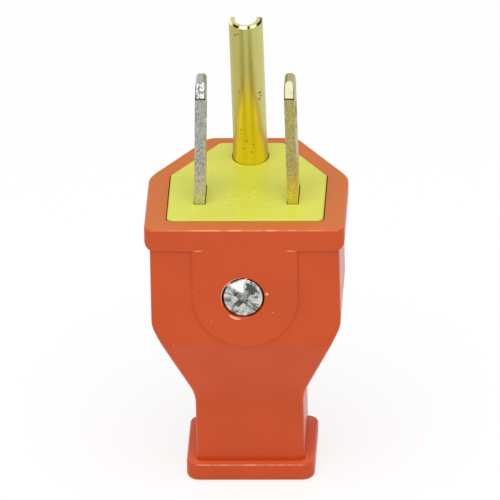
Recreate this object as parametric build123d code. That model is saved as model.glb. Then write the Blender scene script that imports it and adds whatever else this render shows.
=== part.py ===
from build123d import *
import math
import os

# Grounded straight blade plug. All sizes are in millimetres.
# X runs across the two blades, Y from the front, where the housing screw is, to the ground
# pin, and Z from the cord end, on which the plug stands, up to the tips of the contacts.

# Contacts, as they stand out of the face
blade_spacing = 12.7
blade_width = 6.35
blade_thickness = 1.42
blade_reach = 17.5
blade_tip_chamfer = 1.8
blade_tip_bevel = 0.45
blade_slope_bevel = 0.18
blade_hole_diameter = 3.96
blade_hole_height = 11.9
blade_setback = 11.25
neutral_lean = 1.38
hot_lean = -0.75
pin_offset = 11.9
pin_width = 4.6
pin_depth = 3.9
pin_bow = 2.9
pin_wall = 0.8
pin_reach = 20.5
pin_tip_bevel = 0.3
pin_tip_drop = 0.25
pin_flare = 0.14
pin_flare_height = 3.0
pin_lean = -0.9

# Terminal ends of the contacts, inside the carrier
tab_width = 8.4
tab_foot = 0.8
terminal_screw_diameter = 3.5
terminal_screw_length = 5.6
terminal_head_diameter = 6.0
terminal_head_height = 1.5
terminal_head_edge = 0.4
clamp_width = 6.8
clamp_height = 6.4
clamp_thickness = 1.0
clamp_groove = 0.35
terminal_lift = 4.28

# Collar, the widest part of the housing
collar_width = 27.3
collar_depth = 31.0
collar_height = 3.1
collar_side_length = 17.9
collar_back_width = 12.2
collar_front_radius = 1.2
collar_side_radius = 6.0
collar_back_radius = 2.0
collar_under_radius = 1.3
rim_edge = 0.18
rim_height = 39.65

# Body below the collar
body_side_step = 0.6
body_front_step = 0.25
body_draft = 0.7
shoulder_drop = 14.6
shoulder_radius = 4.5
front_shoulder_drop = 17.0
front_shoulder_radius = 5.0
wall = 1.9
body_corner_radius = 0.6

# Neck and the flange at the cord end
neck_width = 14.75
neck_depth = 13.55
neck_setback = 5.75
neck_drop = 26.9
front_neck_drop = 28.5
neck_radius = 8.5
flange_overhang = 1.4
flange_thickness = 2.55
flange_corner_radius = 1.8
flange_top_edge = 0.18
flange_bottom_radius = 0.8
cord_hole_diameter = 9.6
cord_ledge = 2.6

# U-shaped pad on the front, and the housing screw in it
pad_radius = 7.15
screw_drop = 10.1
screw_shift = -0.3
screw_hole_diameter = 5.85
screw_hole_edge = 0.12
screw_head_diameter = 5.45
screw_head_edge = 0.12
screw_crown = 0.4
screw_proud = 0.3
screw_point = 0.4
screw_turn = -43
screw_diameter = 2.84
screw_length = 8.0
screw_slot_width = 0.75
screw_slot_depth = 0.9
cross_width = 0.8
cross_length = 3.0
cross_depth = 1.3
cross_floor_length = 1.5
cross_floor_width = 0.6
nut_width = 6.35
nut_thickness = 2.4
nut_setback = 2.2

# Yellow face and the carrier behind it
rim_front = 2.95
rim_side = 3.0
rim_diagonal = 2.6
rim_back = 2.3
face_front_radius = 0.9
face_side_radius = 0.5
face_back_radius = 0.9
face_rise = 0.28
face_edge = 0.18
face_thickness = 4.5
carrier_lift = 0.38
carrier_screw_diameter = 3.0
carrier_screw_head = 5.4
carrier_screw_head_height = 1.6
carrier_screw_setback = 14.2
carrier_screw_bite = 3.0

# Jaws that grip the cord in the neck
jaw_thickness = 1.2
jaw_width = 7.4
tooth_height = 0.4
tooth_pitch = 1.5
tooth_count = 5

# Clearances
insert_gap = 0.15
slot_gap = 0.12
pin_gap = 0.1
tab_gap = 0.1
screw_gap = 0.05
pocket_gap = 0.15
tail_gap = 0.35
jaw_gap = 0.12

# An edge this close to a side counts as lying on it
edge_tolerance = 0.06

# Levels and places that follow from the sizes above
front_y = (screw_proud - collar_depth) / 2
back_y = front_y + collar_depth
blade_y = front_y + blade_setback
pin_y = blade_y + pin_offset
neck_y = front_y + neck_setback + neck_depth / 2
face_top = rim_height + face_rise
face_bottom = face_top - face_thickness
carrier_bottom = rim_height - shoulder_drop + carrier_lift
carrier_height = face_bottom - carrier_bottom
collar_bottom = rim_height - collar_height
screw_z = rim_height - screw_drop
screw_head_height = rim_front + screw_proud
insert_front_y = front_y + rim_front
blade_outer_x = (blade_spacing + blade_thickness) / 2
pin_front_y = pin_y - pin_depth / 2
pin_tab_back_y = pin_front_y + pin_wall
pin_shank_bottom = face_top + pin_flare_height
terminal_height = carrier_bottom + terminal_lift
terminal_hole_diameter = terminal_screw_diameter + 2 * screw_gap
tab_bottom = carrier_bottom + tab_foot
carrier_screw_y = front_y + carrier_screw_setback


def rounded_face(points, radii):
    """Polygon face on XY with its own radius at each corner."""
    return make_face(FilletPolyline(*points, radius=radii, close=True))


def diagonal_reach():
    """Direction square to the plan's right diagonal, and how far out along it the collar reaches."""
    run = (collar_back_width - collar_width) / 2
    rise = collar_depth - collar_side_length
    length = math.hypot(run, rise)
    normal = Vector(rise / length, -run / length)
    return normal, normal.dot(Vector(collar_width / 2, front_y + collar_side_length))


def plan_face(front, side, diagonal, back, radii):
    """The plug's plan, moved in from the collar's edges by these amounts, a radius for each corner."""
    normal, reach = diagonal_reach()
    side_x = collar_width / 2 - side
    far_y = back_y - back
    corner_y = (reach - diagonal - normal.X * side_x) / normal.Y
    far_x = (reach - diagonal - normal.Y * far_y) / normal.X
    right = [(side_x, front_y + front), (side_x, corner_y), (far_x, far_y)]
    left = [(-x, y) for x, y in reversed(right)]
    return rounded_face(right + left, radii + radii[::-1])


def prism(face, bottom, top):
    """The plan face raised from one level to another."""
    return extrude(Pos(0, 0, bottom) * face, top - bottom)


def flank(upper, lower, upper_z, lower_z, inset):
    """The two corners of a sloping flank, moved in square to the wall by the inset."""
    angle = math.atan2(upper - lower, upper_z - lower_z)
    lift = inset * math.tan(angle / 2)
    return (upper - inset, upper_z + lift), (lower - inset, lower_z + lift)


def shoulder_half_width():
    """Half the body's width at the shoulder, where the drafted sides end."""
    draft = (shoulder_drop - collar_height) * math.tan(math.radians(body_draft))
    return collar_width / 2 - body_side_step - draft


def front_view(inset):
    """Body, waist and neck seen from the front, moved in from the outside by the inset."""
    shoulder_z = rim_height - shoulder_drop
    shoulder, neck = flank(shoulder_half_width(), neck_width / 2, shoulder_z, rim_height - neck_drop, inset)
    right = [(shoulder[0], rim_height), shoulder, neck, (neck[0], 0)]
    radii = [0, shoulder_radius, neck_radius, 0]
    left = [(-x, z) for x, z in reversed(right)]
    return rounded_face(right + left, radii + radii[::-1])


def side_view(inset):
    """Body, waist and neck seen from the side, moved in from the outside by the inset."""
    neck_z = rim_height - front_neck_drop
    near = flank(
        -front_y - body_front_step, neck_depth / 2 - neck_y, rim_height - front_shoulder_drop, neck_z, inset
    )
    far = flank(back_y - body_side_step, neck_y + neck_depth / 2, rim_height - shoulder_drop, neck_z, inset)
    back = [(far[0][0], rim_height), *far, (far[1][0], 0)]
    front = [(-y, z) for y, z in ((near[1][0], 0), *reversed(near), (near[0][0], rim_height))]
    radii = [0, shoulder_radius, neck_radius, 0, 0, neck_radius, front_shoulder_radius, 0]
    return rounded_face(back + front, radii)


def body_form(inset, radii):
    """Body, waist and neck: the plan, the front view and the side view cut out of one block."""
    step = body_side_step + inset
    plan = prism(plan_face(body_front_step + inset, step, step, step, radii), 0, rim_height)
    across = extrude(Plane.XZ * front_view(inset), collar_depth, both=True)
    along = extrude(Plane.YZ * side_view(inset), collar_width, both=True)
    return plan & across & along


def round_corners(body):
    """Round the corners that run down the front, and those down the back of the waist and the neck."""
    near_y = neck_y - neck_depth / 2 + edge_tolerance
    far_y = neck_y + neck_depth / 2 - edge_tolerance
    shoulder_foot = rim_height - shoulder_drop - shoulder_radius
    normal, reach = diagonal_reach()
    body_reach = reach - body_side_step - edge_tolerance
    edges = body.edges().filter_by(lambda edge: abs((edge @ 0).Z - (edge @ 1).Z) > edge_tolerance)
    front = edges.filter_by(lambda edge: edge.center().Y < near_y)
    back = edges.filter_by(lambda edge: edge.center().Y > far_y and edge.center().Z < shoulder_foot)
    back = back.filter_by(
        lambda edge: normal.dot(Vector(abs(edge.center().X), edge.center().Y)) < body_reach
    )
    return fillet(front + back, body_corner_radius)


def insert_face(gap):
    """Plan of the face and the carrier, or of the hollow that takes them."""
    radii = [face_front_radius + gap, face_side_radius + gap, face_back_radius + gap]
    return plan_face(rim_front - gap, rim_side - gap, rim_diagonal - gap, rim_back - gap, radii)


def box_face(x, y):
    """Rectangle given by its two limits along each axis."""
    centre = [(low + high) / 2 for low, high in (x, y)]
    size = [high - low for low, high in (x, y)]
    return Pos(*centre) * Rectangle(*size)


def box_between(x, y, z):
    """Box given by its two limits along each axis."""
    centre = [(low + high) / 2 for low, high in (x, y, z)]
    size = [high - low for low, high in (x, y, z)]
    return Pos(*centre) * Box(*size)


def rod(start, direction, diameter, length):
    """Round rod from a start point along a direction."""
    return extrude(Plane(start, z_dir=direction) * Circle(diameter / 2), length)


def build_collar():
    """Collar: the rim that the face sits in, its lower corners rounded at the sides."""
    half = collar_width / 2
    corners = [(half, rim_height), (half, collar_bottom), (-half, collar_bottom), (-half, rim_height)]
    across = rounded_face(corners, [0, collar_under_radius, collar_under_radius, 0])
    radii = [collar_front_radius, collar_side_radius, collar_back_radius]
    collar = prism(plan_face(0, 0, 0, 0, radii), collar_bottom, rim_height)
    collar &= extrude(Plane.XZ * across, collar_depth, both=True)
    return chamfer(collar.faces().sort_by(Axis.Z)[-1].edges(), rim_edge)


def build_pad():
    """U-shaped pad, level with the front of the collar."""
    pad = Plane.XZ * (
        Pos(0, screw_z) * Circle(pad_radius)
        + Pos(0, (screw_z + rim_height - rim_edge) / 2)
        * Rectangle(2 * pad_radius, rim_height - rim_edge - screw_z)
    )
    return Pos(0, front_y, 0) * extrude(pad, -rim_front)


def build_flange():
    """Flange round the cord end of the neck."""
    flange = Pos(0, neck_y, 0) * RectangleRounded(
        neck_width + 2 * flange_overhang, neck_depth + 2 * flange_overhang, flange_corner_radius
    )
    flange = extrude(flange, flange_thickness)
    flange = chamfer(flange.faces().sort_by(Axis.Z)[-1].edges(), flange_top_edge)
    return fillet(flange.faces().sort_by(Axis.Z)[0].edges(), flange_bottom_radius)


def screw_hole():
    """Hole for the housing screw's head, with a broken edge at the front."""
    hole = rod((screw_shift, front_y, screw_z), (0, 1, 0), screw_hole_diameter, rim_front)
    mouth = Circle(screw_hole_diameter / 2 + screw_hole_edge)
    mouth = Plane((screw_shift, front_y, screw_z), z_dir=(0, 1, 0)) * mouth
    return hole + extrude(mouth, screw_hole_edge, taper=45)


def build_housing():
    """One moulded shell, open at the collar for the face and at the flange for the cord."""
    body = round_corners(body_form(0, [0, collar_side_radius, collar_back_radius]))
    hollow = prism(insert_face(insert_gap), carrier_bottom, rim_height)
    below = prism(Rectangle(collar_width, collar_depth), cord_ledge, carrier_bottom)
    hollow += body_form(wall, [0, 0, 0]) & below
    cord_hole = rod((0, neck_y, 0), (0, 0, 1), cord_hole_diameter, cord_ledge)
    return body + build_collar() + build_pad() + build_flange() - hollow - cord_hole - screw_hole()


def lean_shift(level, lean):
    """How far to the right a leaning contact stands at a level; it is upright inside the face."""
    return math.tan(math.radians(lean)) * (level - face_top)


def leaning_prism(face, bottom, top, lean):
    """Plan face raised from one level to another along a leaning contact."""
    shift = lean_shift(bottom, lean)
    run = lean_shift(top, lean) - shift
    rise = top - bottom
    return extrude(Pos(shift, 0, bottom) * face, math.hypot(run, rise), dir=(run, 0, rise))


def bevel_tip(blade, level, bevel):
    """Bevel the edges of a blade's two wide sides whose middles are above a level."""
    wide = blade.faces().sort_by(SortBy.AREA)[-2:]
    return chamfer(wide.edges().filter_by(lambda edge: edge.center().Z > level), bevel)


def build_blade(side, lean):
    """Blade stamped from strip and coined at its tip, with a wide tab that the face and the carrier trap."""
    tip = face_top + blade_reach
    half = blade_width / 2
    outline = [
        (-half, face_bottom),
        (-half, tip - blade_tip_chamfer),
        (-half + blade_tip_chamfer, tip),
        (half - blade_tip_chamfer, tip),
        (half, tip - blade_tip_chamfer),
        (half, face_bottom),
    ]
    section = Rectangle(blade_thickness, blade_width)
    strip = prism(section, face_bottom, face_top)
    strip += leaning_prism(section, face_top, tip + blade_thickness, lean)
    blade = strip & extrude(Plane.YZ * make_face(Polyline(*outline, close=True)), collar_width, both=True)
    blade = bevel_tip(blade, tip - blade_tip_bevel / 2, blade_tip_bevel)
    blade = bevel_tip(blade, tip - blade_tip_chamfer + blade_tip_bevel / 2, blade_slope_bevel)
    hole_z = face_top + blade_hole_height
    blade -= rod((-collar_width, 0, hole_z), (1, 0, 0), blade_hole_diameter, 2 * collar_width)
    tab = box_between(
        (-blade_thickness / 2, blade_thickness / 2),
        (-tab_width / 2, tab_width / 2),
        (tab_bottom, face_bottom),
    )
    tab -= rod((-blade_thickness, 0, terminal_height), (1, 0, 0), terminal_hole_diameter, collar_width)
    return Pos(side * blade_spacing / 2, blade_y, 0) * (blade + tab)


def pin_section(inset):
    """U of the ground pin, its bowed side to the front; the inset gives the inside of the fold."""
    half = pin_width / 2 - inset
    bow_y = pin_front_y + pin_bow
    bow = Pos(0, bow_y) * Ellipse(half, pin_bow - inset)
    bow &= box_face((-half, half), (pin_front_y + inset, bow_y))
    return bow + box_face((-half, half), (bow_y, pin_y + pin_depth / 2 + abs(inset)))


def pin_form(inset, foot, tip):
    """The pin upright in its hole, then leaning: flared at the face and even from there to the tip."""
    wide = pin_section(inset - pin_flare)
    even = pin_section(inset)
    flare = loft(
        [
            Pos(0, 0, face_top) * wide,
            Pos(lean_shift(pin_shank_bottom, pin_lean), 0, pin_shank_bottom) * even,
        ]
    )
    shank = leaning_prism(even, pin_shank_bottom, tip, pin_lean)
    return prism(wide, foot, face_top) + flare + shank


def build_pin():
    """Ground pin folded from sheet, its tab flat on from the front of the fold."""
    tip = face_top + pin_reach
    outer = pin_form(0, terminal_height + clamp_height / 2, tip)
    top = outer.faces().sort_by(Axis.Z)[-1]
    outer = chamfer(top.edges(), pin_tip_bevel, pin_tip_drop, reference=top)
    inner = pin_form(pin_wall, terminal_height, tip)
    tab = box_between(
        (-tab_width / 2, tab_width / 2), (pin_front_y, pin_tab_back_y), (tab_bottom, face_bottom)
    )
    tab -= rod((0, pin_front_y, terminal_height), (0, 1, 0), terminal_hole_diameter, pin_wall)
    return outer - inner + tab


def terminal_place(name):
    """Where a terminal's screw enters its tab: the tab's outer face, looking out of the plug."""
    places = {
        "neutral": Plane((-blade_outer_x, blade_y, terminal_height), x_dir=(0, 0, 1), z_dir=(-1, 0, 0)),
        "hot": Plane((blade_outer_x, blade_y, terminal_height), x_dir=(0, 0, 1), z_dir=(1, 0, 0)),
        "ground": Plane((0, pin_tab_back_y, terminal_height), x_dir=(0, 0, 1), z_dir=(0, 1, 0)),
    }
    return places[name]


def build_terminal_screw(name):
    """Binding screw with a slotted head, standing on the clamp plate."""
    head = Pos(0, 0, clamp_thickness) * extrude(Circle(terminal_head_diameter / 2), terminal_head_height)
    head = chamfer(head.faces().sort_by(Axis.Z)[-1].edges(), terminal_head_edge)
    head_top = clamp_thickness + terminal_head_height
    slot = box_between(
        (-terminal_head_diameter, terminal_head_diameter),
        (-screw_slot_width / 2, screw_slot_width / 2),
        (head_top - terminal_head_height / 2, head_top),
    )
    shank_end = clamp_thickness - terminal_screw_length
    shank = Pos(0, 0, shank_end) * extrude(Circle(terminal_screw_diameter / 2), terminal_screw_length)
    return terminal_place(name) * (head - slot + shank)


def build_clamp(name):
    """Pressure plate that holds the wire against the tab, grooved to bite."""
    plate = extrude(Rectangle(clamp_height, clamp_width), clamp_thickness)
    plate -= extrude(Circle(terminal_screw_diameter / 2 + tab_gap), clamp_thickness)
    notch = make_face(Polyline((-clamp_groove, 0), (clamp_groove, 0), (0, clamp_groove), close=True))
    groove = extrude(Plane.XZ * notch, clamp_width, both=True)
    groove_x = (terminal_screw_diameter + clamp_height) / 4
    for side in (-1, 1):
        plate -= Pos(side * groove_x, 0, 0) * groove
    return terminal_place(name) * plate


def terminal_chamber(name):
    """Room for a terminal: the tab's slot, the open wire pocket and the hole for the screw's end."""
    sheet = pin_wall if name == "ground" else blade_thickness
    height = face_bottom - terminal_height
    slot = box_between(
        (tab_bottom - terminal_height, height),
        (-tab_width / 2 - tab_gap, tab_width / 2 + tab_gap),
        (-sheet - tab_gap, tab_gap),
    )
    pocket = box_between(
        (carrier_bottom - terminal_height, clamp_height / 2 + pocket_gap),
        (-clamp_width / 2 - pocket_gap, clamp_width / 2 + pocket_gap),
        (0, collar_width),
    )
    tail = Pos(0, 0, clamp_thickness - terminal_screw_length - tail_gap) * extrude(
        Circle(terminal_screw_diameter / 2 + tail_gap), terminal_screw_length
    )
    return terminal_place(name) * (slot + pocket + tail)


def nut_room(gap):
    """The nut's block, or with a gap the pocket that it drops into."""
    nut_front = insert_front_y + nut_setback
    half = nut_width / 2 + gap
    depth = (nut_front - gap, nut_front + nut_thickness + gap)
    width = (screw_shift - half, screw_shift + half)
    return box_between(width, depth, (screw_z - half, screw_z + half))


def build_carrier():
    """Inner block: holds the contacts apart, with a wire chamber for each terminal."""
    carrier = prism(insert_face(0), carrier_bottom, face_bottom)
    for name in ("neutral", "hot", "ground"):
        carrier -= terminal_chamber(name)
    carrier -= prism(pin_hole(), carrier_bottom + carrier_height / 2, face_bottom)
    pocket = nut_room(tab_gap)
    carrier -= pocket + Pos(0, 0, nut_width / 2) * pocket
    screw_end = screw_length + 2 * tail_gap
    screw_start = (screw_shift, insert_front_y, screw_z)
    carrier -= rod(screw_start, (0, 1, 0), screw_diameter + 2 * tail_gap, screw_end)
    carrier -= rod(
        (0, carrier_screw_y, carrier_bottom), (0, 0, 1), carrier_screw_diameter + 2 * tab_gap, carrier_height
    )
    return carrier - rod(
        (0, carrier_screw_y, carrier_bottom),
        (0, 0, 1),
        carrier_screw_head + 2 * tab_gap,
        carrier_screw_head_height + tab_gap,
    )


def pin_hole():
    """Hole for the ground pin: bowed at the front and square at the back, like the pin."""
    return pin_section(-pin_flare - pin_gap)


def build_face():
    """Yellow face block with the two blade slots and the pin hole."""
    face = prism(insert_face(0), face_bottom, face_top)
    face = chamfer(face.faces().sort_by(Axis.Z)[-1].edges(), face_edge)
    slot = Rectangle(blade_thickness + 2 * slot_gap, blade_width + 2 * slot_gap)
    for side in (-1, 1):
        face -= prism(Pos(side * blade_spacing / 2, blade_y) * slot, face_bottom, face_top)
    face -= prism(pin_hole(), face_bottom, face_top)
    bore = carrier_screw_diameter + 2 * screw_gap
    bite = carrier_screw_bite + 2 * tab_gap
    return face - rod((0, carrier_screw_y, face_bottom), (0, 0, 1), bore, bite)


def screw_recess():
    """Slot right across the head, with a cross at its middle that narrows downwards."""
    slot = box_between(
        (-screw_head_diameter, screw_head_diameter),
        (-screw_slot_width / 2, screw_slot_width / 2),
        (screw_head_height - screw_slot_depth, screw_head_height),
    )
    wing = loft(
        [
            Pos(0, 0, screw_head_height) * Rectangle(cross_length, cross_width),
            Pos(0, 0, screw_head_height - cross_depth) * Rectangle(cross_floor_length, cross_floor_width),
        ]
    )
    return Rot(0, 0, screw_turn) * (slot + wing + Rot(0, 0, 90) * wing)


def build_housing_screw():
    """Domed screw whose head fills the hole in the housing, level with the pad at its rim."""
    rim_z = screw_head_height - screw_crown
    dome_reach = screw_head_diameter / 2 - screw_head_edge
    dome_radius = (dome_reach**2 + screw_crown**2) / (2 * screw_crown)
    dome_angle = math.degrees(math.asin(dome_reach / dome_radius))
    dome = JernArc((0, screw_head_height), (1, 0), dome_radius, -dome_angle)
    outline = [
        (dome_reach, rim_z),
        (screw_head_diameter / 2, rim_z - screw_head_edge),
        (screw_head_diameter / 2, 0),
        (0, 0),
        (0, screw_head_height),
    ]
    head = revolve(Plane.XZ * make_face(dome + Polyline(*outline)), Axis.Z) - screw_recess()
    shank = Pos(0, 0, -screw_length) * extrude(Circle(screw_diameter / 2), screw_length)
    shank = chamfer(shank.faces().sort_by(Axis.Z)[0].edges(), screw_point)
    return Plane((screw_shift, insert_front_y, screw_z), x_dir=(1, 0, 0), z_dir=(0, -1, 0)) * (head + shank)


def build_nut():
    """Square nut for the housing screw."""
    start = (screw_shift, insert_front_y, screw_z)
    nut_hole = rod(start, (0, 1, 0), screw_diameter + 2 * screw_gap, screw_length)
    return nut_room(0) - nut_hole


def build_carrier_screw():
    """Screw that draws the face down on the carrier."""
    head = extrude(Circle(carrier_screw_head / 2), carrier_screw_head_height)
    slot = box_between(
        (-carrier_screw_head, carrier_screw_head),
        (-screw_slot_width / 2, screw_slot_width / 2),
        (0, carrier_screw_head_height / 2),
    )
    shank = extrude(Circle(carrier_screw_diameter / 2), carrier_height + carrier_screw_bite)
    return Pos(0, carrier_screw_y, carrier_bottom) * (head - slot + shank)


def build_jaw(side):
    """Toothed jaw: a strip that follows the waist down into the neck, pressed on by the carrier."""
    outer = wall + jaw_gap
    strip = front_view(outer) - front_view(outer + jaw_thickness)
    strip &= box_face((0, collar_width), (cord_ledge, carrier_bottom))
    inner_x = neck_width / 2 - outer - jaw_thickness
    for index in range(tooth_count):
        foot = cord_ledge + tooth_pitch * index
        head = foot + tooth_pitch
        points = [(inner_x, foot), (inner_x, head), (inner_x - tooth_height, head)]
        strip += make_face(Polyline(*points, close=True))
    jaw = Pos(0, neck_y, 0) * extrude(Plane.XZ * strip, jaw_width / 2, both=True)
    return jaw if side > 0 else mirror(jaw, Plane.YZ)


parts = {
    "housing": build_housing(),
    "plug_face": build_face(),
    "contact_carrier": build_carrier(),
    "neutral_blade": build_blade(-1, neutral_lean),
    "hot_blade": build_blade(1, hot_lean),
    "ground_pin": build_pin(),
    "housing_screw": build_housing_screw(),
    "housing_nut": build_nut(),
    "carrier_screw": build_carrier_screw(),
    "cord_grip_left": build_jaw(-1),
    "cord_grip_right": build_jaw(1),
}
for terminal in ("neutral", "hot", "ground"):
    parts[f"{terminal}_terminal_screw"] = build_terminal_screw(terminal)
    parts[f"{terminal}_wire_clamp"] = build_clamp(terminal)

os.makedirs("parts", exist_ok=True)
for node, solid in parts.items():
    export_step(solid, f"parts/{node}.step")
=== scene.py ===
import math

import bmesh
import bpy
from mathutils import Matrix, Vector


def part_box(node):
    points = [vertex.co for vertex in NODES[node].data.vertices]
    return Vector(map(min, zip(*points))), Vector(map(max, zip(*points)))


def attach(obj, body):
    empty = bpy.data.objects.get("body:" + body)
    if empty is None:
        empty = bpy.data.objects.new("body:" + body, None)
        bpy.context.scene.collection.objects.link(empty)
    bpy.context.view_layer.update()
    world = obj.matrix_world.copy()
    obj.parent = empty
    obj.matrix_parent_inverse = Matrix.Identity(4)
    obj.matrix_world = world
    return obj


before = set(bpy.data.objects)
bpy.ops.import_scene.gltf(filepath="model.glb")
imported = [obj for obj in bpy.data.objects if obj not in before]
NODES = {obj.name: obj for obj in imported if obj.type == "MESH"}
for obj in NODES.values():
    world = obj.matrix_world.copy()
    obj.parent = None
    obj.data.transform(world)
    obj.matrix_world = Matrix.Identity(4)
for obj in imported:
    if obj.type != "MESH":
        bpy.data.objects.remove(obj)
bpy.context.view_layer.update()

bl_info = {
    "name": "Straight Blade Plug Finish",
    "version": (1, 0, 0),
    "blender": (4, 5, 0),
    "location": "View3D > Sidebar > Plug",
    "description": "Dresses a straight blade plug in plastic, brass, nickel and zinc, and sets its studio",
    "category": "Object",
}

MM = 0.001
HOUSING_LOW, HOUSING_HIGH = (Vector(corner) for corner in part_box("housing"))
SCREW_LOW, SCREW_HIGH = (Vector(corner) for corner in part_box("housing_screw"))
FACE_LOW, FACE_HIGH = (Vector(corner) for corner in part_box("plug_face"))
PIN_LOW, PIN_HIGH = (Vector(corner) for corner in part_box("ground_pin"))
BLADE_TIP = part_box("hot_blade")[1][2]
SCREW_CENTRE = (SCREW_LOW + SCREW_HIGH) / 2

# Front edges with painted highlight lines, by their places back and up: the rim's and the flange's, just
# inside their corners.
EDGE_INSET = 0.08 * MM
FLANGE_SETBACK = 4.35 * MM
FLANGE_THICKNESS = 2.55 * MM
RIM_EDGE = (HOUSING_LOW.y + EDGE_INSET, HOUSING_HIGH.z - EDGE_INSET)
FLANGE_EDGE = (HOUSING_LOW.y + FLANGE_SETBACK + EDGE_INSET, FLANGE_THICKNESS - EDGE_INSET)
# Middles of the painted highlight dash at the pad's top right corner and of the rubbed marks on the face.
PAD_CORNER = Vector((6.4 * MM, HOUSING_LOW.y, HOUSING_HIGH.z - 3.1 * MM))
SCUFF_CENTRE = Vector((0.3 * MM, FACE_LOW.y + 6.8 * MM, FACE_HIGH.z))

BURR_RINGS, BURR_SIDES = 28, 10
# Half the side of the floor, in metres.
FLOOR_HALF = 2.0
WHITE = (1, 1, 1, 1)

# Sockets that go by their number: a colour mix's share, colours and result, and a map range's value and ends.
SHARE, UNDER, OVER, MIXED = 0, 6, 7, 2
VALUE, FROM_LOW, FROM_HIGH, TO_LOW, TO_HIGH = range(5)


def linear(code):
    """Linear colour with alpha from an sRGB hex code."""
    channels = [int(code[index:index + 2], 16) / 255 for index in (0, 2, 4)]
    return [c / 12.92 if c <= 0.04045 else ((c + 0.055) / 1.055) ** 2.4 for c in channels] + [1.0]


def colour_property(name, description, code):
    """Colour setting whose default is an sRGB hex code."""
    return bpy.props.FloatVectorProperty(
        name=name, description=description, default=linear(code), size=4, min=0.0, max=1.0, subtype="COLOR"
    )


def length_property(name, description, millimetres):
    """Length setting, given in millimetres and kept in metres."""
    return bpy.props.FloatProperty(
        name=name, description=description, default=millimetres * MM, min=0.0, precision=5, unit="LENGTH"
    )


def angle_property(name, description, degrees):
    """Angle setting, given in degrees and kept in radians."""
    return bpy.props.FloatProperty(
        name=name, description=description, default=math.radians(degrees), subtype="ANGLE"
    )


class PlugPlastics(bpy.types.PropertyGroup):
    """Colours and textures of the moulded pieces."""

    housing_colour: colour_property("Housing", "Orange of the moulded housing", "CA4C18")
    face_colour: colour_property("Face", "Yellow of the moulded face", "CED044")
    carrier_colour: colour_property("Carrier", "Black of the inner block and the cord grips", "1D1B1A")
    # The paler level tops are painted light: the flange's lifts the shade under the body, and the rim's is
    # partly dust.
    flange_top_painted_light: colour_property("Flange's land", "Dusty orange of the flange's level top", "E1653A")
    rim_top_dust_and_painted_light: colour_property("Rim's land", "Duller, dustier orange of the rim's level top", "C5682C")
    # The pale edge colour paints highlight lines along the front edges and also colours the worn nicks.
    nick_and_highlight_colour: colour_property("Worn edge", "Pale orange of an edge that has been rubbed", "EE9C6C")
    # The burrs' pale orange is a painted highlight.
    burr_highlight_colour: colour_property("Torn edge", "Pale orange of the burrs round the screw hole", "F0A57C")
    # The rubbed lines set here are painted highlight lines.
    highlight_line_width: length_property("Worn width", "Half the width of a rubbed line along the rim", 0.11)
    highlight_piece_length: length_property("Worn length", "Length of the unbroken pieces of a rubbed line", 1.0)
    texture_pitch: length_property("Texture pitch", "Distance between bumps of the mould's texture", 0.32)
    flow_length: length_property("Flow length", "Length of the cloudy changes in the moulded colour", 6.0)
    scuff_bow: length_property("Scuff bow", "Radius of the arcs that the rubbed marks follow", 7.0)
    scuff_reach: length_property("Scuff reach", "How far the rubbed marks spread from their middle", 5.6)


class PlugMetals(bpy.types.PropertyGroup):
    """Colours and textures of the metal pieces."""

    brass_colour: colour_property("Brass", "Clean yellow brass of the hot blade", "EEDC6C")
    brass_facet: colour_property("Coined brass", "Burnished facets of the hot blade's tip", "8F8F76")
    lip_painted_highlight: colour_property("Sheared lip", "Clean, pale lip on the tip of the ground pin", "F6F0CE")
    # The lip's pale slope is a painted highlight.
    brass_dull: colour_property("Worn brass", "Brass that has slid in and out of an outlet", "B9AF74")
    brass_dark: colour_property("Tarnish", "Dark tarnish in the grain of the brass", "9B8D47")
    # The olive left side of the pin is painted shade and its paler right side painted light; the pale brass
    # also colours the lip's level top.
    olive_painted_shade: colour_property("Olive brass", "Olive tarnish on the left side of the ground pin", "C1BB6A")
    pale_brass_and_painted_light: colour_property("Pale brass", "Paler brass on the right side of the ground pin", "CDCB7C")
    # The pin's saturated yellow foot is a painted reflection of the yellow face, with brown streaks along its
    # edges.
    painted_face_reflection: colour_property("Pin's foot", "Saturated clean brass at the ground pin's foot", "F0DA30")
    brass_brown: colour_property("Brown streaks", "Brown tarnish beside the pin's clean foot", "BF9838")
    nickel_colour: colour_property("Nickel", "Clean nickel plate on the neutral blade", "E2E0D2")
    nickel_facet: colour_property("Coined nickel", "Burnished facets of the neutral blade's tip", "929292")
    nickel_dull: colour_property("Worn nickel", "Nickel that has slid in and out of an outlet", "BDBDB0")
    nickel_dark: colour_property("Dark nickel", "Dark grain in the nickel plate", "898C84")
    zinc_colour: colour_property("Zinc", "Pale zinc plate of the screws and the nut", "DADCD5")
    zinc_dull: colour_property("Dull zinc", "Dull green-grey patches in the zinc plate", "A4A8A2")
    zinc_dark: colour_property("Dark zinc", "Dark marks that the driver left in the zinc plate", "565B59")
    green_colour: colour_property("Ground green", "Green dye over the plate of the ground screw", "2F7D46")
    grain_size: length_property("Plate grain", "Grain of the sheared and plated metal", 0.16)
    streak_size: length_property("Streaks", "Size of the dark streaks and the dull patches", 0.7)
    scar_count: bpy.props.FloatProperty(
        name="Scars", description="How closely the driver's scars follow each other", default=4.0
    )
    draw_line_width: length_property("Draw lines", "Width of the bands left along the folded pin", 0.8)
    facet_height: length_property("Facet height", "Height of the coined facets on a blade's tip", 1.9)
    # The flame is the shape of the painted reflection at the pin's foot.
    flame_height: length_property("Flame height", "Height of the clean flame at the pin's foot", 12.0)
    flame_width: length_property("Flame width", "Width of the clean flame at the face", 4.8)
    pin_lean: angle_property("Pin lean", "Lean of the ground pin to the left", 0.9)
    clean_foot: length_property("Clean foot", "Height over the face where the blades are still clean", 2.6)


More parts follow.
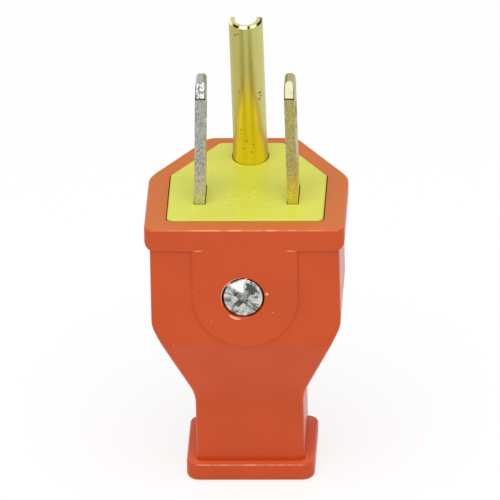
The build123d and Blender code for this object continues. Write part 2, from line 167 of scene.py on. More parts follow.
class PlugStage(bpy.types.PropertyGroup):
    """Camera, lamps and floor."""

    azimuth: angle_property("Azimuth", "Camera's turn round the plug", 2.7)
    elevation: angle_property("Elevation", "Camera's height angle", 24.3)
    roll: angle_property("Roll", "Camera's lean about its view axis", 1.2)
    distance: length_property("Distance", "From the camera to the plug", 3000.0)
    frame_width: length_property("Frame width", "Width of the picture at the plug", 67.9)
    aim_right: length_property("Aim right", "Middle of the picture, right of the front of the rim", 0.837)
    aim_down: length_property("Aim down", "Middle of the picture, below the front of the rim", 2.66)
    softbox_size: length_property("Softbox size", "Side of the square lamp overhead", 480.0)
    softbox_height: length_property("Softbox height", "Height of the lamp over the floor", 560.0)
    softbox_front: length_property("Softbox front", "How far the lamp stands in front of the plug", 200.0)
    softbox_radiance: bpy.props.FloatProperty(
        name="Softbox radiance", description="Brightness of the lamp, 1 is white", default=3.1, min=0.0
    )
    sky_level: bpy.props.FloatProperty(
        name="Sky level", description="Brightness of the soft light from all round", default=0.6, min=0.0
    )
    floor_glow: bpy.props.FloatProperty(
        name="Floor glow", description="Share of plain white in the paper as the camera sees it", default=0.8
    )
    floor_colour: colour_property("Floor", "Pale paper under the plug", "FAFAF9")


def add_node(tree, kind, inputs=None, output=None, **settings):
    """Add a node with its settings; an input that is a socket is linked, any other is set."""
    node = tree.nodes.new(kind)
    for name, value in settings.items():
        setattr(node, name, value)
    for name, value in (inputs or {}).items():
        if isinstance(value, bpy.types.NodeSocket):
            tree.links.new(value, node.inputs[name])
        else:
            node.inputs[name].default_value = value
    return node if output is None else node.outputs[output]


def empty_tree(owner):
    """Node tree of a new material or world, with nothing in it."""
    owner.use_nodes = True
    owner.node_tree.nodes.clear()
    return owner.node_tree


def add_object(name, data):
    """New object in the scene's own collection."""
    added = bpy.data.objects.new(name, data)
    bpy.context.scene.collection.objects.link(added)
    return added


def start_material(name, **constants):
    """New material with its constants on a Principled shader, and the coordinates for its patterns."""
    material = bpy.data.materials.new(name)
    tree = empty_tree(material)
    inputs = {key.replace("_", " "): value for key, value in constants.items()}
    shader = add_node(tree, "ShaderNodeBsdfPrincipled", inputs)
    add_node(tree, "ShaderNodeOutputMaterial", {"Surface": shader.outputs["BSDF"]})
    return material, tree, shader, add_node(tree, "ShaderNodeTexCoord", output="Object")


def tint(colour, factor):
    """Colour made lighter or darker by a factor."""
    return [min(1.0, channel * factor) for channel in colour[:3]] + [1.0]


def height_share(tree, place, low, high):
    """0 below one height of the plug's own frame and 1 above another."""
    height = add_node(tree, "ShaderNodeSeparateXYZ", {"Vector": place}, "Z")
    return add_node(tree, "ShaderNodeMapRange", {VALUE: height, FROM_LOW: low, FROM_HIGH: high}, 0)


def upward_share(tree, low, high):
    """0 where a surface's upward slope is below one value and 1 above another."""
    facing = add_node(tree, "ShaderNodeNewGeometry", output="Normal")
    upward = add_node(tree, "ShaderNodeSeparateXYZ", {"Vector": facing}, "Z")
    return add_node(tree, "ShaderNodeMapRange", {VALUE: upward, FROM_LOW: low, FROM_HIGH: high}, 0)


def spot_share(tree, place, spots):
    """1 inside rounded spots, each given by its centre and its three half sizes, and 0 outside them."""
    share = 0.0
    for centre, halves in spots:
        offset = add_node(tree, "ShaderNodeVectorMath", {0: place, 1: centre}, 0, operation="SUBTRACT")
        reach = add_node(tree, "ShaderNodeVectorMath", {0: offset, 1: halves}, 0, operation="DIVIDE")
        reach = add_node(tree, "ShaderNodeVectorMath", {0: reach}, "Value", operation="LENGTH")
        spot = add_node(tree, "ShaderNodeMapRange", {VALUE: reach, FROM_LOW: 1.0, FROM_HIGH: 0.5}, 0)
        share = add_node(tree, "ShaderNodeMath", {0: share, 1: spot}, 0, operation="MAXIMUM")
    return share


def melt_clouds(tree, place, colour, settings):
    """Moulded colour in the slow, faint clouds of melt flow, so that a wall doesn't look painted."""
    flow = {"Vector": place, "Scale": 1 / settings.flow_length, "Detail": 3.0}
    flow = add_node(tree, "ShaderNodeTexNoise", flow, 0)
    clouds = add_node(tree, "ShaderNodeMapRange", {VALUE: flow, FROM_LOW: 0.35, FROM_HIGH: 0.65}, 0)
    body = {SHARE: clouds, UNDER: tint(colour, 0.97), OVER: tint(colour, 1.03)}
    return add_node(tree, "ShaderNodeMix", body, MIXED, data_type="RGBA")


def highlight_and_nick_share(tree, place, highlights_and_nicks, settings):
    """1 on the painted highlight lines and the worn nicks, and less where noise breaks them up."""
    breaks = {"Vector": place, "Scale": 0.6 / settings.highlight_piece_length, "Detail": 4.0, "Roughness": 0.75}
    breaks = add_node(tree, "ShaderNodeTexNoise", breaks, 0)
    breaks = {VALUE: breaks, FROM_LOW: 0.46, FROM_HIGH: 0.56, TO_LOW: 0.2, TO_HIGH: 1.0}
    breaks = add_node(tree, "ShaderNodeMapRange", breaks, 0)
    rubbed = {0: spot_share(tree, place, highlights_and_nicks), 1: breaks}
    return add_node(tree, "ShaderNodeMath", rubbed, 0, operation="MULTIPLY")


def add_pebbles(tree, place, shader, level, settings):
    """Sheen and relief of the mould's texture, duller on level lands.

    The real texture is finer than a pixel, so it is drawn coarser, as soft pebbles that only stir the sheen.
    """
    pebble = {"Vector": place, "Scale": 1 / settings.texture_pitch, "Detail": 3.0, "Roughness": 0.6}
    pebble = add_node(tree, "ShaderNodeTexNoise", pebble, 0)
    satin = {VALUE: pebble, FROM_LOW: 0.3, FROM_HIGH: 0.7, TO_LOW: 0.24, TO_HIGH: 0.34}
    satin = add_node(tree, "ShaderNodeMapRange", satin, 0)
    dusty = add_node(tree, "ShaderNodeMapRange", {VALUE: level, TO_HIGH: 0.3}, 0)
    satin = add_node(tree, "ShaderNodeMath", {0: satin, 1: dusty}, 0, operation="ADD")
    tree.links.new(satin, shader.inputs["Roughness"])
    relief = {"Height": pebble, "Strength": 0.3, "Distance": 0.006 * MM}
    tree.links.new(add_node(tree, "ShaderNodeBump", relief, 0), shader.inputs["Normal"])


def satin_moulding(name, colour, low_top_painted_light, high_top_painted_light, settings, highlights_and_nicks=()):
    """Plastic, moulded in a satin tool: even colour with a soft sheen that handling has dulled."""
    # Solid nylon has an index of 1.53 and phenolic a higher one, and this lower one gives the dulled sheen.
    material, tree, shader, place = start_material(name, IOR=1.36)
    body = melt_clouds(tree, place, colour, settings)
    # Level lands are paler and duller than the walls, the rim's more than the flange's: duller with dust, and
    # paler with painted light, on the rim with dust as well.
    level = upward_share(tree, 0.9, 0.99)
    high = height_share(tree, place, FLANGE_EDGE[1], RIM_EDGE[1])
    land = {SHARE: high, UNDER: low_top_painted_light, OVER: high_top_painted_light}
    land = add_node(tree, "ShaderNodeMix", land, MIXED, data_type="RGBA")
    body = add_node(tree, "ShaderNodeMix", {SHARE: level, UNDER: body, OVER: land}, MIXED, data_type="RGBA")
    # Front edges get pale, broken lines of painted highlight, and the front a few pale worn nicks.
    rubbed = highlight_and_nick_share(tree, place, highlights_and_nicks, settings)
    body = {SHARE: rubbed, UNDER: body, OVER: settings.nick_and_highlight_colour}
    body = add_node(tree, "ShaderNodeMix", body, MIXED, data_type="RGBA")
    tree.links.new(body, shader.inputs["Base Color"])
    add_pebbles(tree, place, shader, level, settings)
    return material


def bowed_arcs(tree, place, settings):
    """Noise drawn out into short arcs, bowed round the pin's side of the face."""
    bow = {0: place, 1: SCUFF_CENTRE + Vector((0, settings.scuff_bow, 0))}
    bow = add_node(tree, "ShaderNodeVectorMath", bow, "Value", operation="DISTANCE")
    across = add_node(tree, "ShaderNodeSeparateXYZ", {"Vector": place}, "X")
    arcs = add_node(tree, "ShaderNodeCombineXYZ", {"X": across, "Y": bow}, 0)
    arcs = add_node(tree, "ShaderNodeMapping", {"Vector": arcs, "Scale": (0.16, 1, 1)}, 0)
    arcs = {"Vector": arcs, "Scale": 1 / settings.texture_pitch, "Detail": 3.0, "Roughness": 0.6}
    return add_node(tree, "ShaderNodeTexNoise", arcs, 0)


def scuffed_vinyl(name, colour, settings):
    """Rigid vinyl, moulded flat and rubbed by outlets: a dull sheen with short, pale scuffs."""
    # Rigid vinyl has an index of 1.54, and this lower one gives the rubbed sheen.
    material, tree, shader, place = start_material(name, IOR=1.42)
    body = melt_clouds(tree, place, colour, settings)
    # The scuffs lie between the blades and thin out from their middle.
    arcs = bowed_arcs(tree, place, settings)
    marks = {VALUE: arcs, FROM_LOW: 0.53, FROM_HIGH: 0.64, TO_HIGH: 0.75}
    marks = add_node(tree, "ShaderNodeMapRange", marks, 0)
    gap = add_node(tree, "ShaderNodeVectorMath", {0: place, 1: SCUFF_CENTRE}, "Value", operation="DISTANCE")
    near = {VALUE: gap, FROM_LOW: settings.scuff_reach, FROM_HIGH: settings.scuff_reach * 0.5}
    near = add_node(tree, "ShaderNodeMapRange", near, 0)
    scuff = add_node(tree, "ShaderNodeMath", {0: near, 1: marks}, 0, operation="MULTIPLY")
    body = {SHARE: scuff, UNDER: body, OVER: tint(colour, 1.3)}
    body = add_node(tree, "ShaderNodeMix", body, MIXED, data_type="RGBA")
    tree.links.new(body, shader.inputs["Base Color"])
    satin = {VALUE: arcs, FROM_LOW: 0.35, FROM_HIGH: 0.65, TO_LOW: 0.36, TO_HIGH: 0.5}
    tree.links.new(add_node(tree, "ShaderNodeMapRange", satin, 0), shader.inputs["Roughness"])
    relief = {"Height": scuff, "Strength": 0.5, "Distance": 0.02 * MM}
    tree.links.new(add_node(tree, "ShaderNodeBump", relief, 0), shader.inputs["Normal"])
    return material


def flat_share(tree):
    """1 on a blade's rolled flats, which face sideways, and 0 on its sheared edges."""
    facing = add_node(tree, "ShaderNodeNewGeometry", output="Normal")
    sideways = add_node(tree, "ShaderNodeSeparateXYZ", {"Vector": facing}, "X")
    sideways = add_node(tree, "ShaderNodeMath", {0: sideways}, 0, operation="ABSOLUTE")
    return add_node(tree, "ShaderNodeMapRange", {VALUE: sideways, FROM_LOW: 0.5, FROM_HIGH: 0.9}, 0)


def corner_share(tree):
    """1 on the sloping corners of a blade's tip, 0 on its upright and level sides."""
    facing = add_node(tree, "ShaderNodeNewGeometry", output="Normal")
    parts = add_node(tree, "ShaderNodeSeparateXYZ", {"Vector": facing})
    slope = {0: parts.outputs["Y"], 1: parts.outputs["Z"]}
    slope = add_node(tree, "ShaderNodeMath", slope, 0, operation="MULTIPLY")
    slope = add_node(tree, "ShaderNodeMath", {0: slope}, 0, operation="ABSOLUTE")
    return add_node(tree, "ShaderNodeMapRange", {VALUE: slope, FROM_LOW: 0.1, FROM_HIGH: 0.4}, 0)


def level_line(tree, place, level, width):
    """1 in a narrow band round one height of the plug's own frame, fading to 0 above and below."""
    height = add_node(tree, "ShaderNodeSeparateXYZ", {"Vector": place}, "Z")
    gap = add_node(tree, "ShaderNodeMath", {0: height, 1: level}, 0, operation="SUBTRACT")
    gap = add_node(tree, "ShaderNodeMath", {0: gap}, 0, operation="ABSOLUTE")
    return add_node(tree, "ShaderNodeMapRange", {VALUE: gap, FROM_LOW: width, FROM_HIGH: width / 2}, 0)


def grain_layer(tree, body, grain, rubbed, flat, dark):
    """The strip's colour with a dark grain, fainter at the clean foot and on the flats."""
    bright = add_node(tree, "ShaderNodeMapRange", {VALUE: grain, FROM_LOW: 0.4, FROM_HIGH: 0.56}, 0)
    at_foot = add_node(tree, "ShaderNodeMapRange", {VALUE: rubbed, TO_LOW: 0.55, TO_HIGH: 0.0}, 0)
    on_flat = add_node(tree, "ShaderNodeMapRange", {VALUE: flat, TO_HIGH: 0.85}, 0)
    for calm in (at_foot, on_flat):
        bright = add_node(tree, "ShaderNodeMath", {0: bright, 1: calm}, 0, operation="MAXIMUM")
    body = {SHARE: bright, UNDER: dark, OVER: body}
    return add_node(tree, "ShaderNodeMix", body, MIXED, data_type="RGBA")


def rub_layer(tree, place, body, flat, dark, settings):
    """The strip's colour with the long, dark rubs that an outlet's springs leave up its flats."""
    rubs = add_node(tree, "ShaderNodeMapping", {"Vector": place, "Scale": (1, 1, 0.04)}, 0)
    rubs = {"Vector": rubs, "Scale": 0.5 / settings.grain_size, "Detail": 3.0, "Roughness": 0.6}
    rubs = add_node(tree, "ShaderNodeTexNoise", rubs, 0)
    rubs = {VALUE: rubs, FROM_LOW: 0.5, FROM_HIGH: 0.7, TO_HIGH: 0.6}
    rubs = add_node(tree, "ShaderNodeMapRange", rubs, 0)
    rubs = add_node(tree, "ShaderNodeMath", {0: rubs, 1: flat}, 0, operation="MULTIPLY")
    return add_node(tree, "ShaderNodeMix", {SHARE: rubs, UNDER: body, OVER: dark}, MIXED, data_type="RGBA")


def facet_layer(tree, place, body, dark, facet, streaks, settings):
    """The strip's colour with smooth, pale facets at its tip, dark streaks in them and a dark step below."""
    foot = BLADE_TIP - settings.facet_height
    at_tip = height_share(tree, place, foot - settings.grain_size, foot)
    corner = add_node(tree, "ShaderNodeMath", {0: corner_share(tree), 1: at_tip}, 0, operation="MULTIPLY")
    body = {SHARE: corner, UNDER: body, OVER: facet}
    body = add_node(tree, "ShaderNodeMix", body, MIXED, data_type="RGBA")
    streak = {"Vector": place, "Scale": 1 / settings.streak_size, "Detail": 2.0, "Distortion": 1.5}
    streak = add_node(tree, "ShaderNodeTexNoise", streak, 0)
    streak = {VALUE: streak, FROM_LOW: 0.5, FROM_HIGH: 0.55, TO_HIGH: streaks}
    streak = add_node(tree, "ShaderNodeMapRange", streak, 0)
    streak = add_node(tree, "ShaderNodeMath", {0: streak, 1: corner}, 0, operation="MULTIPLY")
    body = {SHARE: streak, UNDER: body, OVER: tint(dark, 0.25)}
    body = add_node(tree, "ShaderNodeMix", body, MIXED, data_type="RGBA")
    step = level_line(tree, place, foot, settings.grain_size)
    body = {SHARE: step, UNDER: body, OVER: tint(dark, 0.3)}
    return add_node(tree, "ShaderNodeMix", body, MIXED, data_type="RGBA")


def blanked_strip(name, clean, dull, dark, facet, streaks, settings):
    """Strip, blanked from sheet and coined at the tip: grainy edges, rubbed flats and bright facets."""
    material, tree, shader, place = start_material(name, Metallic=1.0)
    # The foot stays clean, and above it the strip is rubbed dull.
    foot = FACE_HIGH.z + settings.clean_foot
    rubbed = height_share(tree, place, foot, foot + settings.clean_foot)
    body = {SHARE: rubbed, UNDER: clean, OVER: dull}
    body = add_node(tree, "ShaderNodeMix", body, MIXED, data_type="RGBA")
    # The grain of the sheared edges runs a little up the strip, drawn coarse enough to show.
    grain = add_node(tree, "ShaderNodeMapping", {"Vector": place, "Scale": (1, 1, 0.6)}, 0)
    grain = {"Vector": grain, "Scale": 1 / settings.grain_size, "Detail": 4.0, "Roughness": 0.65}
    grain = add_node(tree, "ShaderNodeTexNoise", grain, 0)
    flat = flat_share(tree)
    body = grain_layer(tree, body, grain, rubbed, flat, dark)
    body = rub_layer(tree, place, body, flat, dark, settings)
    body = facet_layer(tree, place, body, dark, facet, streaks, settings)
    tree.links.new(body, shader.inputs["Base Color"])
    rough = {VALUE: grain, FROM_LOW: 0.3, FROM_HIGH: 0.7, TO_LOW: 0.42, TO_HIGH: 0.3}
    tree.links.new(add_node(tree, "ShaderNodeMapRange", rough, 0), shader.inputs["Roughness"])
    strength = add_node(tree, "ShaderNodeMapRange", {VALUE: flat, TO_LOW: 0.6, TO_HIGH: 0.1}, 0)
    relief = {"Height": grain, "Strength": strength, "Distance": 0.025 * MM}
    tree.links.new(add_node(tree, "ShaderNodeBump", relief, 0), shader.inputs["Normal"])
    return material


def across_pin(tree, place, settings):
    """How far a point lies to the right of the pin's middle line, which leans with the pin."""
    lean = math.tan(settings.pin_lean)
    across = {0: place, 1: (1, 0, lean)}
    across = add_node(tree, "ShaderNodeVectorMath", across, "Value", operation="DOT_PRODUCT")
    return add_node(tree, "ShaderNodeMath", {0: across, 1: FACE_HIGH.z * lean}, 0, operation="SUBTRACT")


def flame_gap(tree, place, across, above, settings):
    """How far a point lies outside the flame, whose edges draw together with the height and waver."""
    half = {
        VALUE: above,
        FROM_LOW: 0.0,
        FROM_HIGH: settings.flame_height,
        TO_LOW: settings.flame_width / 2,
        TO_HIGH: settings.flame_width / 6,
    }
    half = add_node(tree, "ShaderNodeMapRange", half, 0)
    gap = add_node(tree, "ShaderNodeMath", {0: across}, 0, operation="ABSOLUTE")
    gap = add_node(tree, "ShaderNodeMath", {0: gap, 1: half}, 0, operation="SUBTRACT")
    waver = {"Vector": place, "Scale": 0.35 / settings.streak_size, "Detail": 0.0}
    waver = add_node(tree, "ShaderNodeTexNoise", waver, 0)
    waver = add_node(tree, "ShaderNodeMapRange", {VALUE: waver, TO_LOW: -0.25 * MM, TO_HIGH: 0.25 * MM}, 0)
    return add_node(tree, "ShaderNodeMath", {0: gap, 1: waver}, 0, operation="ADD")


def flame_layer(tree, place, across, body, settings):
    """The pin's colour with a flame of yellow at its foot, which is a painted reflection of the yellow face,
    and brown streaks along the flame's edges.
    """
    flame = settings.flame_height
    height = add_node(tree, "ShaderNodeSeparateXYZ", {"Vector": place}, "Z")
    above = add_node(tree, "ShaderNodeMath", {0: height, 1: FACE_HIGH.z}, 0, operation="SUBTRACT")
    gap = flame_gap(tree, place, across, above, settings)
    inside = add_node(tree, "ShaderNodeMapRange", {VALUE: gap, FROM_LOW: 0.4 * MM, FROM_HIGH: -0.5 * MM}, 0)
    low = {VALUE: above, FROM_LOW: flame * 1.15, FROM_HIGH: flame * 0.7}
    low = add_node(tree, "ShaderNodeMapRange", low, 0)
    inside = add_node(tree, "ShaderNodeMath", {0: inside, 1: low}, 0, operation="MULTIPLY")
    body = {SHARE: inside, UNDER: body, OVER: settings.painted_face_reflection}
    body = add_node(tree, "ShaderNodeMix", body, MIXED, data_type="RGBA")
    # The streaks lead on above the flame and then fade.
    streak = add_node(tree, "ShaderNodeMath", {0: gap}, 0, operation="ABSOLUTE")
    streak = {VALUE: streak, FROM_LOW: 0.5 * MM, FROM_HIGH: 0.0, TO_HIGH: 0.7}
    streak = add_node(tree, "ShaderNodeMapRange", streak, 0)
    fade = add_node(tree, "ShaderNodeMapRange", {VALUE: above, FROM_LOW: flame * 1.5, FROM_HIGH: flame}, 0)
    streak = add_node(tree, "ShaderNodeMath", {0: streak, 1: fade}, 0, operation="MULTIPLY")
    body = {SHARE: streak, UNDER: body, OVER: settings.brass_brown}
    return add_node(tree, "ShaderNodeMix", body, MIXED, data_type="RGBA")


def lip_layer(tree, place, body, black_marks, settings):
    """The pin's colour with its sheared lip: pale yellow on top, and down its slope a near-white painted
    highlight with near-black marks.
    """
    lip = upward_share(tree, 0.3, 0.5)
    level = upward_share(tree, 0.9, 0.99)
    sheared = {SHARE: level, UNDER: settings.lip_painted_highlight, OVER: settings.pale_brass_and_painted_light}
    sheared = add_node(tree, "ShaderNodeMix", sheared, MIXED, data_type="RGBA")
    body = {SHARE: lip, UNDER: body, OVER: sheared}
    body = add_node(tree, "ShaderNodeMix", body, MIXED, data_type="RGBA")
    slope = add_node(tree, "ShaderNodeMath", {0: lip, 1: level}, 0, operation="SUBTRACT", use_clamp=True)
    black_mark = {0: spot_share(tree, place, black_marks), 1: slope}
    black_mark = add_node(tree, "ShaderNodeMath", black_mark, 0, operation="MULTIPLY")
    body = {SHARE: black_mark, UNDER: body, OVER: tint(settings.brass_dark, 0.1)}
    return add_node(tree, "ShaderNodeMix", body, MIXED, data_type="RGBA")


def folded_sheet(name, settings, pits, black_marks):
    """Brass sheet, folded round a mandrel: smooth, banded along its length and tarnished by use, with painted
    shade and painted light on its two sides and a painted reflection at its foot.
    """
    material, tree, shader, place = start_material(name, Metallic=1.0, Roughness=0.4)
    # The left side has painted shade in olive and the right side painted light in paler brass.
    across = across_pin(tree, place, settings)
    side = {VALUE: across, FROM_LOW: -1.0 * MM, FROM_HIGH: 1.4 * MM}
    side = add_node(tree, "ShaderNodeMapRange", side, 0)
    body = {SHARE: side, UNDER: settings.olive_painted_shade, OVER: settings.pale_brass_and_painted_light}
    body = add_node(tree, "ShaderNodeMix", body, MIXED, data_type="RGBA")
    # Folding leaves soft, dark bands down its length.
    bands = add_node(tree, "ShaderNodeMapping", {"Vector": place, "Scale": (1, 1, 0.03)}, 0)
    bands = {"Vector": bands, "Scale": 1 / settings.draw_line_width, "Detail": 2.0}
    bands = add_node(tree, "ShaderNodeTexNoise", bands, 0)
    soft = {VALUE: bands, FROM_LOW: 0.56, FROM_HIGH: 0.36, TO_HIGH: 0.22}
    soft = add_node(tree, "ShaderNodeMapRange", soft, 0)
    body = {SHARE: soft, UNDER: body, OVER: settings.brass_dark}
    body = add_node(tree, "ShaderNodeMix", body, MIXED, data_type="RGBA")
    body = flame_layer(tree, place, across, body, settings)
    # A few small, dark pits.
    body = {SHARE: spot_share(tree, place, pits), UNDER: body, OVER: tint(settings.brass_dark, 0.25)}
    body = add_node(tree, "ShaderNodeMix", body, MIXED, data_type="RGBA")
    body = lip_layer(tree, place, body, black_marks, settings)
    tree.links.new(body, shader.inputs["Base Color"])
    relief = {"Height": bands, "Strength": 0.1, "Distance": 0.01 * MM}
    tree.links.new(add_node(tree, "ShaderNodeBump", relief, 0), shader.inputs["Normal"])
    return material


def headed_metal(name, clean, dull, dark, settings):
    """Metal, cold headed and then plated or left bright: glossy crowns between duller patches."""
    material, tree, shader, place = start_material(name, Metallic=1.0)
    patches = {"Vector": place, "Scale": 1 / settings.streak_size, "Detail": 3.0, "Roughness": 0.6}
    patches = add_node(tree, "ShaderNodeTexNoise", patches, 0)
    bright = add_node(tree, "ShaderNodeMapRange", {VALUE: patches, FROM_LOW: 0.42, FROM_HIGH: 0.58}, 0)
    body = {SHARE: bright, UNDER: dull, OVER: clean}
    body = add_node(tree, "ShaderNodeMix", body, MIXED, data_type="RGBA")
    # Small dark marks where a driver has cut through it.
    marks = {"Vector": place, "Scale": 1 / settings.grain_size, "Detail": 4.0, "Roughness": 0.7}
    marks = add_node(tree, "ShaderNodeTexNoise", marks, 0)
    marks = add_node(tree, "ShaderNodeMapRange", {VALUE: marks, FROM_LOW: 0.44, FROM_HIGH: 0.34}, 0)
    body = add_node(tree, "ShaderNodeMix", {SHARE: marks, UNDER: body, OVER: dark}, MIXED, data_type="RGBA")
    tree.links.new(body, shader.inputs["Base Color"])
    rough = {VALUE: patches, FROM_LOW: 0.4, FROM_HIGH: 0.6, TO_LOW: 0.36, TO_HIGH: 0.14}
    tree.links.new(add_node(tree, "ShaderNodeMapRange", rough, 0), shader.inputs["Roughness"])
    relief = {"Height": patches, "Strength": 0.7, "Distance": 0.12 * MM}
    tree.links.new(add_node(tree, "ShaderNodeBump", relief, 0), shader.inputs["Normal"])
    return material


def fan(tree, place, centre):
    """Direction from a screw's centre across its head, and the distance from it."""
    offset = add_node(tree, "ShaderNodeVectorMath", {0: place, 1: centre}, 0, operation="SUBTRACT")
    across = add_node(tree, "ShaderNodeVectorMath", {0: offset, 1: (1, 0, 1)}, 0, operation="MULTIPLY")
    radius = add_node(tree, "ShaderNodeVectorMath", {0: across}, "Value", operation="LENGTH")
    return add_node(tree, "ShaderNodeVectorMath", {0: across}, 0, operation="NORMALIZE"), radius


def scar_noise(tree, direction, radius, settings):
    """Noise drawn out from the screw's recess: it follows the angle closely and the radius loosely."""
    turned = {0: direction, "Scale": settings.scar_count}
    turned = add_node(tree, "ShaderNodeVectorMath", turned, 0, operation="SCALE")
    outward = {0: radius, 1: 2 * settings.streak_size}
    outward = add_node(tree, "ShaderNodeMath", outward, 0, operation="DIVIDE")
    outward = add_node(tree, "ShaderNodeCombineXYZ", {"Y": outward}, 0)
    scars = add_node(tree, "ShaderNodeVectorMath", {0: turned, 1: outward}, 0, operation="ADD")
    scars = {"Vector": scars, "Scale": 1.0, "Detail": 4.0, "Roughness": 0.65}
    return add_node(tree, "ShaderNodeTexNoise", scars, 0)


def sector_share(tree, direction, radius, ragged, sector):
    """1 inside a sector, given by its angle, its half width in degrees and its two radii."""
    angle, half, inner, outer = sector
    middle = (math.cos(math.radians(angle)), 0, math.sin(math.radians(angle)))
    near = {0: direction, 1: middle}
    near = add_node(tree, "ShaderNodeVectorMath", near, "Value", operation="DOT_PRODUCT")
    near = add_node(tree, "ShaderNodeMath", {0: near, 1: ragged}, 0, operation="ADD")
    border, soft = math.cos(math.radians(half)), 0.03
    share = {VALUE: near, FROM_LOW: border, FROM_HIGH: border + soft}
    share = add_node(tree, "ShaderNodeMapRange", share, 0)
    for low, high in ((inner, inner + 0.2 * MM), (outer, outer - 0.2 * MM)):
        ring = add_node(tree, "ShaderNodeMapRange", {VALUE: radius, FROM_LOW: low, FROM_HIGH: high}, 0)
        share = add_node(tree, "ShaderNodeMath", {0: share, 1: ring}, 0, operation="MULTIPLY")
    return share


def cammed_head(name, clean, dull, dark, settings):
    """Plated steel whose driver has slipped: bright, with dull and dark scars out from the recess."""
    material, tree, shader, place = start_material(name, Metallic=1.0)
    direction, radius = fan(tree, place, SCREW_CENTRE)
    scars = scar_noise(tree, direction, radius, settings)
    bright = add_node(tree, "ShaderNodeMapRange", {VALUE: scars, FROM_LOW: 0.42, FROM_HIGH: 0.58}, 0)
    body = {SHARE: bright, UNDER: dull, OVER: clean}
    body = add_node(tree, "ShaderNodeMix", body, MIXED, data_type="RGBA")
    deep = add_node(tree, "ShaderNodeMapRange", {VALUE: scars, FROM_LOW: 0.45, FROM_HIGH: 0.34}, 0)
    body = add_node(tree, "ShaderNodeMix", {SHARE: deep, UNDER: body, OVER: dark}, MIXED, data_type="RGBA")
    # One sector of the head is a painted shadow, and the next one a painted highlight in white.
    ragged = add_node(tree, "ShaderNodeTexNoise", {"Vector": place, "Scale": 0.5 / settings.grain_size}, 0)
    ragged = {VALUE: ragged, FROM_LOW: 0.3, FROM_HIGH: 0.7, TO_LOW: -0.05, TO_HIGH: 0.05}
    ragged = add_node(tree, "ShaderNodeMapRange", ragged, 0)
    shadow, highlight_sector = (50, 30, 1.2 * MM, 2.4 * MM), (112, 28, 0.9 * MM, 2.6 * MM)
    for sector, colour in ((shadow, dark), (highlight_sector, WHITE)):
        share = sector_share(tree, direction, radius, ragged, sector)
        body = {SHARE: share, UNDER: body, OVER: colour}
        body = add_node(tree, "ShaderNodeMix", body, MIXED, data_type="RGBA")
    tree.links.new(body, shader.inputs["Base Color"])
    rough = {VALUE: scars, FROM_LOW: 0.3, FROM_HIGH: 0.7, TO_LOW: 0.4, TO_HIGH: 0.16}
    tree.links.new(add_node(tree, "ShaderNodeMapRange", rough, 0), shader.inputs["Roughness"])
    relief = {"Height": scars, "Strength": 0.7, "Distance": 0.2 * MM}
    tree.links.new(add_node(tree, "ShaderNodeBump", relief, 0), shader.inputs["Normal"])
    return material


def dress(node, material):
    """Give a CAD node its material in every slot that it has."""
    piece = NODES[node]
    if not piece.data.materials:
        piece.data.materials.append(material)
    for index in range(len(piece.data.materials)):
        piece.data.materials[index] = material


class PLUG_OT_dress_housing(bpy.types.Operator):
    """Dress the housing in orange nylon"""

    bl_idname = "plug.dress_housing"
    bl_label = "Dress Housing"

    def execute(self, context):
        settings = context.scene.plug_plastics
        nylon = satin_moulding(
            "orange_nylon_moulded",
            settings.housing_colour,
            settings.flange_top_painted_light,
            settings.rim_top_dust_and_painted_light,
            settings,
            self.painted_highlight_lines(settings.highlight_line_width) + self.nicks(),
        )
        dress("housing", nylon)
        return {"FINISHED"}

    def painted_highlight_lines(self, width):
        """Painted highlight lines along the front edges, thinner on the flange, and painted highlight dashes
        at the pad's top corners.
        """
        right = HOUSING_HIGH.x
        thin = 0.75 * width
        dash = 0.8 * MM
        lines = [
            (Vector((0, *RIM_EDGE)), (right, width, width)),
            (Vector((0, *FLANGE_EDGE)), (right, thin, thin)),
        ]
        for side in (-1, 1):
            corner = Vector((side * PAD_CORNER.x, PAD_CORNER.y, PAD_CORNER.z))
            lines.append((corner, (dash, width, width)))
        return lines

    def nicks(self):
        """Pale nicks in the front of the pad and the body, by their places across and up, and their radii."""
        depth = 4 * MM
        places = (
            (8.0, 34.1, 0.16),
            (3.7, 27.4, 0.14),
            (-4.7, 26.1, 0.15),
            (-9.9, 22.2, 0.13),
            (-7.1, 30.5, 0.16),
        )
        return [
            (Vector((right * MM, HOUSING_LOW.y, up * MM)), (radius * MM, depth, radius * MM))
            for right, up, radius in places
        ]


